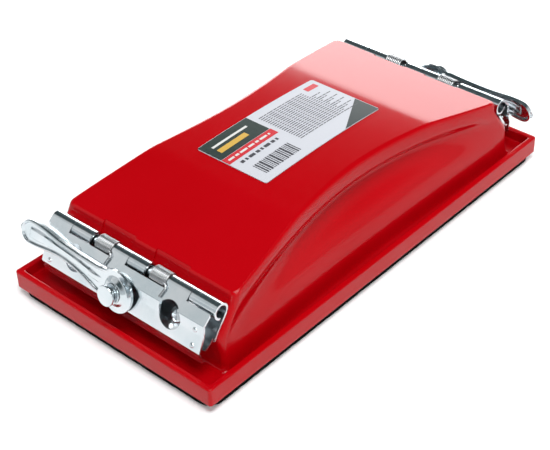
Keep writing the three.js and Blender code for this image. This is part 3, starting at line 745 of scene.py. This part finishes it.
def sheet_solid(name, path, side, low_y, high_y):
    """Bent sheet metal: the path, its copy moved sideways by the sheet's thickness, pushed along Y."""
    moved = []
    for i, (x, z) in enumerate(path):
        ax, az = path[max(i - 1, 0)]
        bx, bz = path[min(i + 1, len(path) - 1)]
        shift = side * SHEET / math.hypot(bx - ax, bz - az)
        moved.append((x - (bz - az) * shift, z + (bx - ax) * shift))
    bm = bmesh.new()
    rows = []
    for y in (low_y, high_y):
        rows.append([[bm.verts.new((x, y, z)) for x, z in line] for line in (path, moved)])
    for (pa, ma), (pb, mb) in zip(rows, rows[1:]):
        for i in range(len(path) - 1):
            bm.faces.new((pa[i], pa[i + 1], pb[i + 1], pb[i]))
            bm.faces.new((ma[i], mb[i], mb[i + 1], ma[i + 1]))
        for i in (0, -1):
            bm.faces.new((pa[i], ma[i], mb[i], pb[i]))
    for line, other in (rows[0], rows[-1]):
        for i in range(len(path) - 1):
            bm.faces.new((line[i], line[i + 1], other[i + 1], other[i]))
    return object_from(name, bm)


def knuckle_tools(own_kind):
    clear = ROLL_RADIUS + KNUCKLE_CLEAR
    return [bar(Vector((HINGE.x, a - TOUCH_GAP / 2, HINGE.z)), ALONG_Y, b - a + TOUCH_GAP, clear, 64)
            for kind, a, b in KNUCKLES if kind != own_kind]


def screw_tools(radius, start, length, segments=48):
    return [bar(SCREW_SEAT + ALONG_Y * y + SEAT_NORMAL * start, SEAT_NORMAL, length, radius, segments)
            for y in (-SCREW_Y, SCREW_Y)]


def stud_tool(radius, start, length, segments=48):
    return bar(LEVER_SEAT + STUD_AXIS * start, STUD_AXIS, length, radius, segments)


def back_plate(end, turn):
    roll = roll_path(-75, 180 + math.degrees(SEAT_TILT))
    leave = HINGE - SEAT_NORMAL * ROLL_RADIUS
    bend = leave + SEAT_DOWN * (SCREW_ALONG_SEAT + SEAT_PAST_SCREW)
    tip_x = bend.x + SEAT_LIP_LENGTH * math.cos(SEAT_LIP_DROP)
    tip_z = bend.z - SEAT_LIP_LENGTH * math.sin(SEAT_LIP_DROP)
    sheet = bent_path([(leave.x, leave.z), (bend.x, bend.z, SHEET_BEND), (tip_x, tip_z)])
    piece = sheet_solid(f"{end}_clamp_back", roll[:-1] + sheet, 1, -CLAMP_HALF_WIDTH, CLAMP_HALF_WIDTH)
    tools = knuckle_tools("B") + screw_tools(SCREW_RADIUS + BORE_GAP, -6, 8)
    tools.append(stud_tool(STUD_RADIUS + BORE_GAP, -14, 12))
    edge = CLAMP_HALF_WIDTH - SEAT_LIP_NARROWING
    for low, high in ((edge, CLAMP_HALF_WIDTH + 1), (-CLAMP_HALF_WIDTH - 1, -edge)):
        tools.append(block_between((bend.x - 0.6, low, bend.z - 5), (bend.x + 8, high, bend.z + 3)))
    combine(piece, tools)
    finish_piece(piece, ZINC, "block", [f"{end}_back_plate"], turn, bevel=0.14)


def jaw_path():
    leave = HINGE + SLOPE_NORMAL * ROLL_RADIUS
    crease = leave + SLOPE_DOWN * HINGE_TO_CREASE
    roll = roll_path(339, 90 - math.degrees(JAW_SLOPE))
    sheet = bent_path([(leave.x, leave.z), (crease.x, crease.z, CREASE_BEND), *JAW_FACE])
    return roll[:-1] + sheet


def jaw_plate(end, turn):
    piece = sheet_solid(f"{end}_clamp_jaw", jaw_path(), -1, -CLAMP_HALF_WIDTH, JAW_HALF_WIDTH)
    tools = knuckle_tools("J") + screw_tools(SCREW_CLEARING, 2, SCREW_DEPTH)
    tools.append(stud_tool(STUD_RADIUS + JAW_STUD_GAP, -6, 8))
    tools.append(block_between((HINGE.x + ROLL_RADIUS + KNUCKLE_CLEAR, -CLAMP_HALF_WIDTH - 1, HINGE.z - 25),
                               (HINGE.x + 15, -JAW_HALF_WIDTH, HINGE.z + 4)))
    combine(piece, tools)
    dimples = []
    angles = np.linspace(0, math.pi, 13)
    profile = [(DIMPLE_RADIUS * math.sin(a), -DIMPLE_RADIUS * math.cos(a)) for a in angles]
    profile[0] = (0, profile[0][1])
    profile[-1] = (0, profile[-1][1])
    for y in (-DIMPLE_Y, DIMPLE_Y):
        for x, z in DIMPLE_SPOTS:
            dimples.append(turned("tool", profile, (x - DIMPLE_SUNK, y, z), (0, 0, 1), 24))
    combine(piece, dimples, "UNION")
    finish_piece(piece, ZINC, f"{end}_jaw", [f"{end}_jaw_plate"], turn, bevel=0.14)


def spring_points(low_y, high_y):
    """Middle line of the wire: the inner leg, the coil and the leg that lies on the jaw."""
    per_turn = 40
    start_angle = math.pi + SEAT_TILT
    sweep = COIL_TURNS * 2 * math.pi + start_angle - (math.pi / 2 - JAW_SLOPE)
    first_y, last_y = low_y + COIL_LEAD, high_y - COIL_TAIL
    points = [HINGE - SEAT_NORMAL * 1.4 + SEAT_DOWN * back + ALONG_Y * first_y for back in (7.5, 5, 2.5)]
    steps = round(sweep / (2 * math.pi) * per_turn)
    for i in range(steps + 1):
        angle = start_angle - sweep * i / steps
        y = first_y + (last_y - first_y) * i / steps
        points.append(HINGE + Vector((COIL_RADIUS * math.cos(angle), y, COIL_RADIUS * math.sin(angle))))
    height = ROLL_RADIUS + TOUCH_GAP + WIRE_RADIUS
    leg = [points[-1]]
    for along, side in SPRING_LEG:
        leg.append(HINGE + SLOPE_NORMAL * height + SLOPE_DOWN * along + ALONG_Y * (last_y + side))
    # The curve's first two stretches of six steps repeat the coil's end and are left out.
    return points[:-1] + smooth_run(points[-3:-1] + leg)[12:]


def smooth_run(points, steps=6):
    """Catmull-Rom curve through the points, with the given steps between each two."""
    made = []
    for i in range(len(points) - 1):
        before, a, b = points[max(i - 1, 0)], points[i], points[i + 1]
        after = points[min(i + 2, len(points) - 1)]
        for t in np.linspace(0, 1, steps, endpoint=False):
            bend = before * (-t + 2 * t**2 - t**3) + a * (2 - 5 * t**2 + 3 * t**3)
            made.append((bend + b * (t + 4 * t**2 - 3 * t**3) + after * (t**3 - t**2)) / 2)
    return made + [points[-1]]


def wire_solid(name, points, radius, sides=10):
    """Round wire along a list of points, closed flat at both ends."""
    across = SEAT_NORMAL.copy()
    rings = []
    for i, point in enumerate(points):
        run = (points[min(i + 1, len(points) - 1)] - points[max(i - 1, 0)]).normalized()
        across = (across - run * across.dot(run)).normalized()
        other = run.cross(across)
        rings.append([
            point + (across * math.cos(a) + other * math.sin(a)) * radius
            for a in np.linspace(0, 2 * math.pi, sides, endpoint=False)
        ])
    return object_from(name, through_rings(rings))


def spring(end, turn, side, low_y, high_y):
    piece = wire_solid(f"{end}_torsion_spring_{side}", spring_points(low_y, high_y), WIRE_RADIUS)
    finish_piece(piece, SPRING, f"{end}_jaw", [f"{end}_spring_{side}"], turn, angle=60)


def screw(end, turn, side, y):
    """A pan-head screw with a cross recess."""
    seat = SCREW_SEAT + SEAT_NORMAL * TOUCH_GAP + ALONG_Y * y
    shank = [(0, -SCREW_DEPTH), (SCREW_RADIUS - 0.4, -SCREW_DEPTH), (SCREW_RADIUS, 0.6 - SCREW_DEPTH),
             (SCREW_RADIUS, 0)]
    head = [(3.3, 0), (3.3, 0.8), (3.1, 1.3), (2.6, 1.7), (1.6, 1.95), (0, 2)]
    profile = shank + head
    piece = turned(f"{end}_clamp_screw_{side}", profile, seat, SEAT_NORMAL)
    tools = []
    across, width = RECESS["half_length"], RECESS["half_width"]
    for spin in (RECESS["turn"], RECESS["turn"] + math.pi / 2):
        slot = block_between((-across, -width, RECESS["floor"]), (across, width, RECESS["clear"]))
        around = Matrix.Rotation(spin, 4, "Z")
        place = Matrix.Translation(seat) @ SEAT_NORMAL.to_track_quat("Z", "Y").to_matrix().to_4x4()
        slot.data.transform(place @ around)
        tools.append(slot)
    combine(piece, tools)
    finish_piece(piece, ZINC, "block", [f"{end}_screw_{side}"], turn)


# ---- lever, stud and collar ----
def lever_half_width(along):
    """Half-width at a distance along the lever: a round eye, a waist and a round paddle."""
    if along >= PADDLE_CENTRE:
        return math.sqrt(max(PADDLE_RADIUS**2 - (along - PADDLE_CENTRE) ** 2, 0))
    if along >= WAIST_AT:
        share = (1 - math.cos(math.pi * (along - WAIST_AT) / (PADDLE_CENTRE - WAIST_AT))) / 2
        return ARM_HALF_WIDTH + (PADDLE_RADIUS - ARM_HALF_WIDTH) * share
    if along <= LEAVE_EYE:
        return math.sqrt(max(EYE_RADIUS**2 - along**2, 0))
    eye = math.sqrt(EYE_RADIUS**2 - LEAVE_EYE**2)
    share = ((WAIST_AT - along) / (WAIST_AT - LEAVE_EYE)) ** 2
    return ARM_HALF_WIDTH + (eye - ARM_HALF_WIDTH) * share


def lever_middle(along):
    """Sideways offset of the lever's middle line, which is bowed upward, away from its side direction."""
    return -ARM_BOW * math.sin(math.pi * max(along, 0) / LEVER_REACH)


def smooth_step(value, low, high):
    t = np.clip((value - low) / (high - low), 0, 1)
    return t * t * (3 - 2 * t)


def lever_face(along, across, edge_distance):
    """Height of the pressed face: a low flange round the eye, a rolled rim and a middle rib along the arm,
    and a dome up to the boss."""
    arm = smooth_step(along, 3.5, 10.5)
    edge_height = 0.9 + 0.7 * arm
    crest = EYE_HEIGHT + 1.4 * arm
    valley = EYE_HEIGHT + 0.55 * arm
    rim_at, rim_end = 0.75, 1.6
    near = np.clip(edge_distance / rim_at, 0, 1)
    rise = edge_height + (crest - edge_height) * np.sqrt(1 - (1 - near) ** 2)
    fall = crest - (crest - valley) * smooth_step(edge_distance, rim_at, rim_end)
    face = np.where(edge_distance < rim_at, rise, fall)
    rib_half = 0.9 + 0.9 * smooth_step(along, 30, 44)
    rib = (1 - smooth_step(np.abs(across), rib_half, rib_half + 0.6)) * smooth_step(along, 6, 13)
    rib = rib * (1 - smooth_step(along, LEVER_REACH - 5.6, LEVER_REACH - 4.6))
    face = np.maximum(face, valley + 0.85 * rib)
    radius = np.hypot(along, across)
    dome = EYE_HEIGHT + (BOSS_TOP - EYE_HEIGHT) * (1 - smooth_step(radius, HEAD_RADIUS - 0.3, DOME_RADIUS))
    return np.maximum(face, dome)


def lever_stations():
    """Stations along the lever, closer together at both round ends."""
    eye = np.linspace(0, 1, 40)
    paddle = np.linspace(0, 1, 34)
    return np.concatenate([
        -EYE_RADIUS + EYE_RADIUS * (1 - np.cos(eye * math.pi / 2)),
        np.linspace(0, PADDLE_CENTRE, 130)[1:],
        (PADDLE_CENTRE + PADDLE_RADIUS * np.sin(paddle * math.pi / 2))[1:],
    ])


def lever_mesh(name):
    """The pressed face as a grid over the outline, with its edge drawn down to the jaw."""
    alongs = lever_stations()
    halves = np.array([lever_half_width(a) for a in alongs])
    spread = np.sin(np.linspace(-1, 1, 57) * math.pi / 2)
    across = halves[:, None] * spread[None, :]
    along = np.repeat(alongs[:, None], len(spread), 1)
    edge = np.concatenate([np.stack([alongs, halves], 1), np.stack([alongs, -halves], 1)])
    fine = np.concatenate([edge, (edge[1:] + edge[:-1]) / 2])
    points = np.stack([along.ravel(), across.ravel()], 1)
    distance = np.array([np.min(np.hypot(*(fine - p).T)) for p in points]).reshape(along.shape)
    height = lever_face(along, across, distance)
    bow = [lever_middle(a) for a in alongs]
    bm = bmesh.new()
    grid = [[bm.verts.new((along[i, j], bow[i] + across[i, j], height[i, j])) for j in range(len(spread))]
            for i in range(len(alongs))]
    for i in range(len(alongs) - 1):
        for j in range(len(spread) - 1):
            bm.faces.new((grid[i][j], grid[i + 1][j], grid[i + 1][j + 1], grid[i][j + 1]))
    bmesh.ops.remove_doubles(bm, verts=bm.verts, dist=1e-3)
    rim = [e for e in bm.edges if e.is_boundary]
    for depth in SKIRT_STEPS:
        made = bmesh.ops.extrude_edge_only(bm, edges=rim)["geom"]
        for vert in (g for g in made if isinstance(g, bmesh.types.BMVert)):
            vert.co.z = depth
        rim = [g for g in made if isinstance(g, bmesh.types.BMEdge)]
    bmesh.ops.recalc_face_normals(bm, faces=bm.faces)
    if sum(f.normal.z * f.calc_area() for f in bm.faces) < 0:
        bmesh.ops.reverse_faces(bm, faces=bm.faces)
    mesh = bpy.data.meshes.new(name)
    bm.to_mesh(mesh)
    bm.free()
    piece = bpy.data.objects.new(name, mesh)
    bpy.context.scene.collection.objects.link(piece)
    return piece


def lever(end, turn):
    piece = lever_mesh(f"{end}_cam_lever")
    thick = piece.modifiers.new("sheet", "SOLIDIFY")
    thick.thickness = LEVER_SHEET
    thick.offset = -1
    bake(piece)
    combine(piece, [bar((0, 0, -1), (0, 0, 1), 8, STUD_RADIUS + BORE_GAP)])
    up = Vector((-STUD_AXIS.z, 0, STUD_AXIS.x))
    arm = Vector((0, -math.cos(ARM_RISE[end]), 0)) + up * math.sin(ARM_RISE[end])
    side = STUD_AXIS.cross(arm)
    basis = Matrix((arm, side, STUD_AXIS)).transposed().to_4x4()
    piece.data.transform(Matrix.Translation(LEVER_SEAT) @ basis)
    finish_piece(piece, ZINC, f"{end}_lever", [f"{end}_clamp_lever"], turn, angle=45)


def stud(end, turn):
    profile = [(0, -STUD_DEPTH), (STUD_RADIUS - 0.35, -STUD_DEPTH), (STUD_RADIUS, 0.5 - STUD_DEPTH),
               (STUD_RADIUS, HEAD_BASE), (HEAD_RADIUS - 0.2, HEAD_BASE), (HEAD_RADIUS, HEAD_BASE + 0.2),
               (HEAD_RADIUS, HEAD_BASE + 0.65), (HEAD_RADIUS - 0.12, HEAD_BASE + 0.88),
               (HEAD_RADIUS - 0.4, HEAD_BASE + HEAD_THICKNESS), (0, HEAD_BASE + HEAD_THICKNESS)]
    piece = turned(f"{end}_stud", profile, LEVER_SEAT, STUD_AXIS, 72)
    finish_piece(piece, ZINC, "block", [f"{end}_lever_stud"], turn)


def collar(end, turn):
    low, high, bore = COLLAR_BASE, COLLAR_BASE + COLLAR_THICKNESS, STUD_RADIUS + BORE_GAP
    profile = [(bore, low), (HEAD_RADIUS - 0.15, low), (HEAD_RADIUS, low + 0.15),
               (HEAD_RADIUS, high - 0.15), (HEAD_RADIUS - 0.15, high), (bore, high)]
    piece = turned(f"{end}_washer", profile, LEVER_SEAT, STUD_AXIS, 72)
    finish_piece(piece, ZINC, f"{end}_collar", [f"{end}_stud_collar"], turn)


def hinge_pin(end, turn):
    length, radius = PIN_HIGH.y - PIN_LOW.y, (PIN_HIGH.z - PIN_LOW.z) / 2
    edge = 0.3
    profile = [(0, 0), (radius - edge, 0), (radius, edge),
               (radius, length - edge), (radius - edge, length), (0, length)]
    start = Vector((HINGE.x, PIN_LOW.y, HINGE.z))
    finish_piece(turned(f"{end}_pin", profile, start, ALONG_Y), ZINC, "block",
                 [f"{end}_hinge_pin"], turn)


def make_clamps():
    springs = [(low_y, high_y) for kind, low_y, high_y in KNUCKLES if kind == "S"]
    for end, turn in ENDS.items():
        back_plate(end, turn)
        jaw_plate(end, turn)
        hinge_pin(end, turn)
        for side, y, (low_y, high_y) in zip(("left", "right"), (-SCREW_Y, SCREW_Y), springs):
            spring(end, turn, side, low_y, high_y)
            screw(end, turn, side, y)
        stud(end, turn)
        collar(end, turn)
        lever(end, turn)


# ---- studio ----
def make_floor():
    half = 6.0
    bm = bmesh.new()
    bm.faces.new([bm.verts.new((x, y, 0)) for x, y in rectangle(-half, half, -half, half)])
    floor = object_from("floor", bm)
    floor.data.materials.append(new_material("floor", (0.95, 0.95, 0.95), 0.6)[0])


def soft_light(name, place, target, size, power):
    light = bpy.data.lights.new(name, "AREA")
    light.shape = "RECTANGLE"
    light.size, light.size_y = size
    light.energy = power
    holder = bpy.data.objects.new(name, light)
    holder.location = place
    holder.rotation_euler = (Vector(target) - Vector(place)).to_track_quat("-Z", "Y").to_euler()
    bpy.context.scene.collection.objects.link(holder)


def make_lights():
    """Surroundings bright at the horizon and dark overhead, with soft boxes placed where the far slope
    and the jaws mirror them."""
    world = bpy.data.worlds.new("studio")
    world.use_nodes = True
    tree = world.node_tree
    place = tree.nodes.new("ShaderNodeTexCoord")
    split = tree.nodes.new("ShaderNodeSeparateXYZ")
    tree.links.new(place.outputs["Generated"], split.inputs["Vector"])
    ramp = tree.nodes.new("ShaderNodeValToRGB")
    stops = ramp.color_ramp.elements
    stops[0].position, stops[0].color = 0.3, (0.62, 0.65, 0.67, 1)
    stops[1].position, stops[1].color = 0.62, (0.03, 0.05, 0.055, 1)
    tree.links.new(split.outputs["Z"], ramp.inputs["Fac"])
    tree.links.new(ramp.outputs["Color"], tree.nodes["Background"].inputs["Color"])
    bpy.context.scene.world = world
    soft_light("overhead", (-0.1, -0.25, 1.3), (0, 0, 0), (0.8, 0.8), 17.5)
    soft_light("back_box", (1.0, 0.65, 0.3), (0, 0, 0.05), (1.5, 0.5), 12)
    soft_light("left_box", (-0.75, 0.8, 0.95), (0, 0, 0.03), (0.8, 0.8), 1.3)
    soft_light("front_fill", (-0.55, -1.0, 0.75), (0, 0, 0.02), (0.5, 0.5), 5.7)


def make_camera():
    azimuth, elevation, roll = math.radians(-50.27), math.radians(36.11), math.radians(-0.12)
    target, distance = Vector((-3.62, -23.02, 20)) * MM, 519.8 * MM
    back = Vector((math.sin(azimuth) * math.cos(elevation), -math.cos(azimuth) * math.cos(elevation),
                   math.sin(elevation)))
    data = bpy.data.cameras.new("camera")
    data.lens = 84.5
    data.sensor_width = 36
    data.shift_x = -0.1016
    data.shift_y = -0.0345
    camera = bpy.data.objects.new("camera", data)
    camera.rotation_mode = "QUATERNION"
    facing = (-back).to_track_quat("-Z", "Y")
    camera.rotation_quaternion = facing @ Matrix.Rotation(roll, 3, "Z").to_quaternion()
    camera.location = target + back * distance
    bpy.context.scene.collection.objects.link(camera)
    bpy.context.scene.camera = camera


bpy.context.scene.view_settings.view_transform = "Standard"
make_camera()
make_lights()
make_floor()
make_body()
make_base_plate()
make_pad()
make_label()
make_clamps()

bpy.context.view_layer.update()
